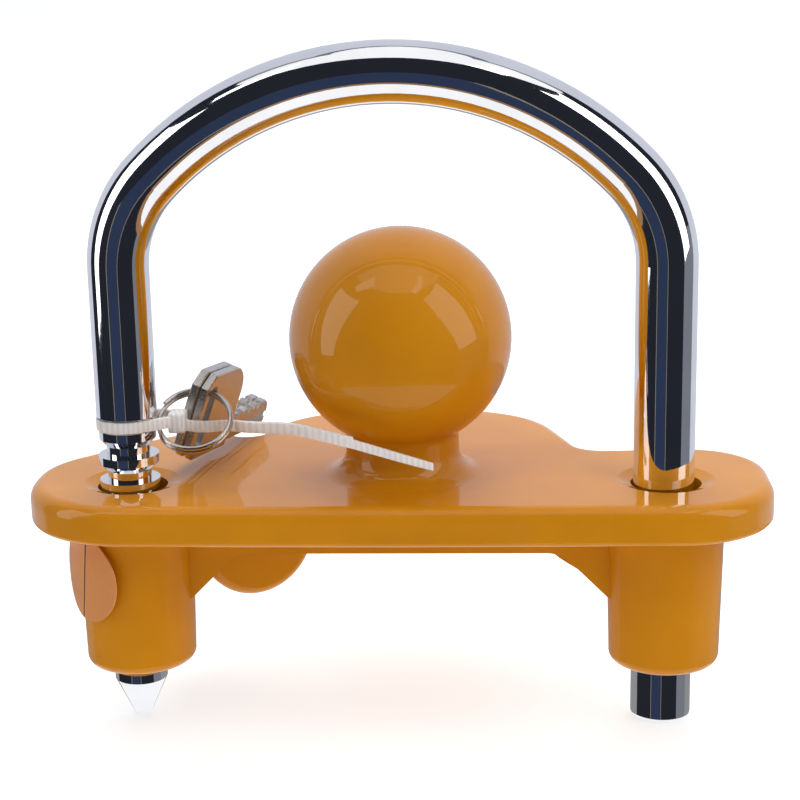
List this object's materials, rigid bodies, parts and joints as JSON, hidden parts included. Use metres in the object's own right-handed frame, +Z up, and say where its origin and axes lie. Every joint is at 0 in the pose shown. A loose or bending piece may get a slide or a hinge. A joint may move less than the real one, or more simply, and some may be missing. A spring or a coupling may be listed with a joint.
{
  "type": "trailer coupler lock",
  "caption": "Ball-and-shackle coupler lock: a cast body with a ball for the coupler socket, a chromed ratchet shackle over it and a keyed cylinder with sliding bolt",
  "frame": {"origin": "centre of the ball that fills the coupler's socket", "axes": "Z up along the shackle legs, X across the legs from the ratchet leg to the plain leg, Y from the front edge to the back lobe"},
  "size_m": [0.1567, 0.0804, 0.1433],
  "materials": {
    "paint": "glossy amber-yellow powder coat on cast iron",
    "chrome": "bright mirror chrome plate on steel",
    "zinc": "satin die-cast zinc and steel",
    "spring": "drawn spring wire",
    "brass": "turned brass",
    "nickel": "nickel plate, slightly brushed",
    "nylon": "natural translucent nylon, ribbed",
    "label": "printed paper label",
    "rubber": "moulded black rubber-like plastic"
  },
  "bodies": {
    "housing": {"lock_body": "paint", "lock_barrel": "zinc", "barrel_pin": "zinc", "driver_pins": "brass", "pin_springs": "spring", "spring_cover": "zinc", "bolt_spring": "spring", "cover_rivet": "zinc", "inspection_sticker": "label"},
    "shackle": {"shackle": "chrome", "cable_tie": "nylon"},
    "plug": {"lock_plug": "zinc", "key_pins": "brass", "eccentric_cam": "zinc", "plug_clip": "spring"},
    "bolt": {"locking_bolt": "zinc"},
    "cover": {"dust_cover": "rubber"},
    "ring": {"key_ring": "nickel"},
    "key_1": {"key_1": "nickel"},
    "key_2": {"key_2": "nickel"}
  },
  "joints": [
    {"name": "shackle_slide", "type": "slide", "parent": "housing", "child": "shackle", "axis": [0, 0, 1], "range_m": [0, 0.054]},
    {"name": "plug_turn", "type": "hinge", "parent": "housing", "child": "plug", "pos_m": [-0.0422, 0.01981, -0.0452], "axis": [0.5299, -0.848, 0], "range_deg": [0, 90]},
    {"name": "bolt_slide", "type": "slide", "parent": "housing", "child": "bolt", "axis": [-0.848, -0.5299, 0], "range_m": [0, 0.00206]},
    {"name": "cover_swing", "type": "hinge", "parent": "housing", "child": "cover", "pos_m": [-0.04059, 0.03497, -0.0452], "axis": [0.5299, -0.848, 0], "range_deg": [0, 100]},
    {"name": "ring_swing", "type": "hinge", "parent": "shackle", "child": "ring", "pos_m": [-0.0509, -0.0064, -0.0162], "axis": [0, -0.7986, -0.6018], "range_deg": [0, 4]},
    {"name": "key_1_swing", "type": "hinge", "parent": "ring", "child": "key_1", "pos_m": [-0.04178, -0.0008, -0.01104], "axis": [0.903, -0.2799, -0.3259], "range_deg": [0, 8]},
    {"name": "key_2_swing", "type": "hinge", "parent": "ring", "child": "key_2", "pos_m": [-0.04178, -0.0008, -0.01104], "axis": [0.903, -0.2799, -0.3259], "range_deg": [0, 8]}
  ],
  "couplings": [
    {"joint": "bolt_slide", "follows": "plug_turn", "m_per_rad": 0.001305}
  ]
}
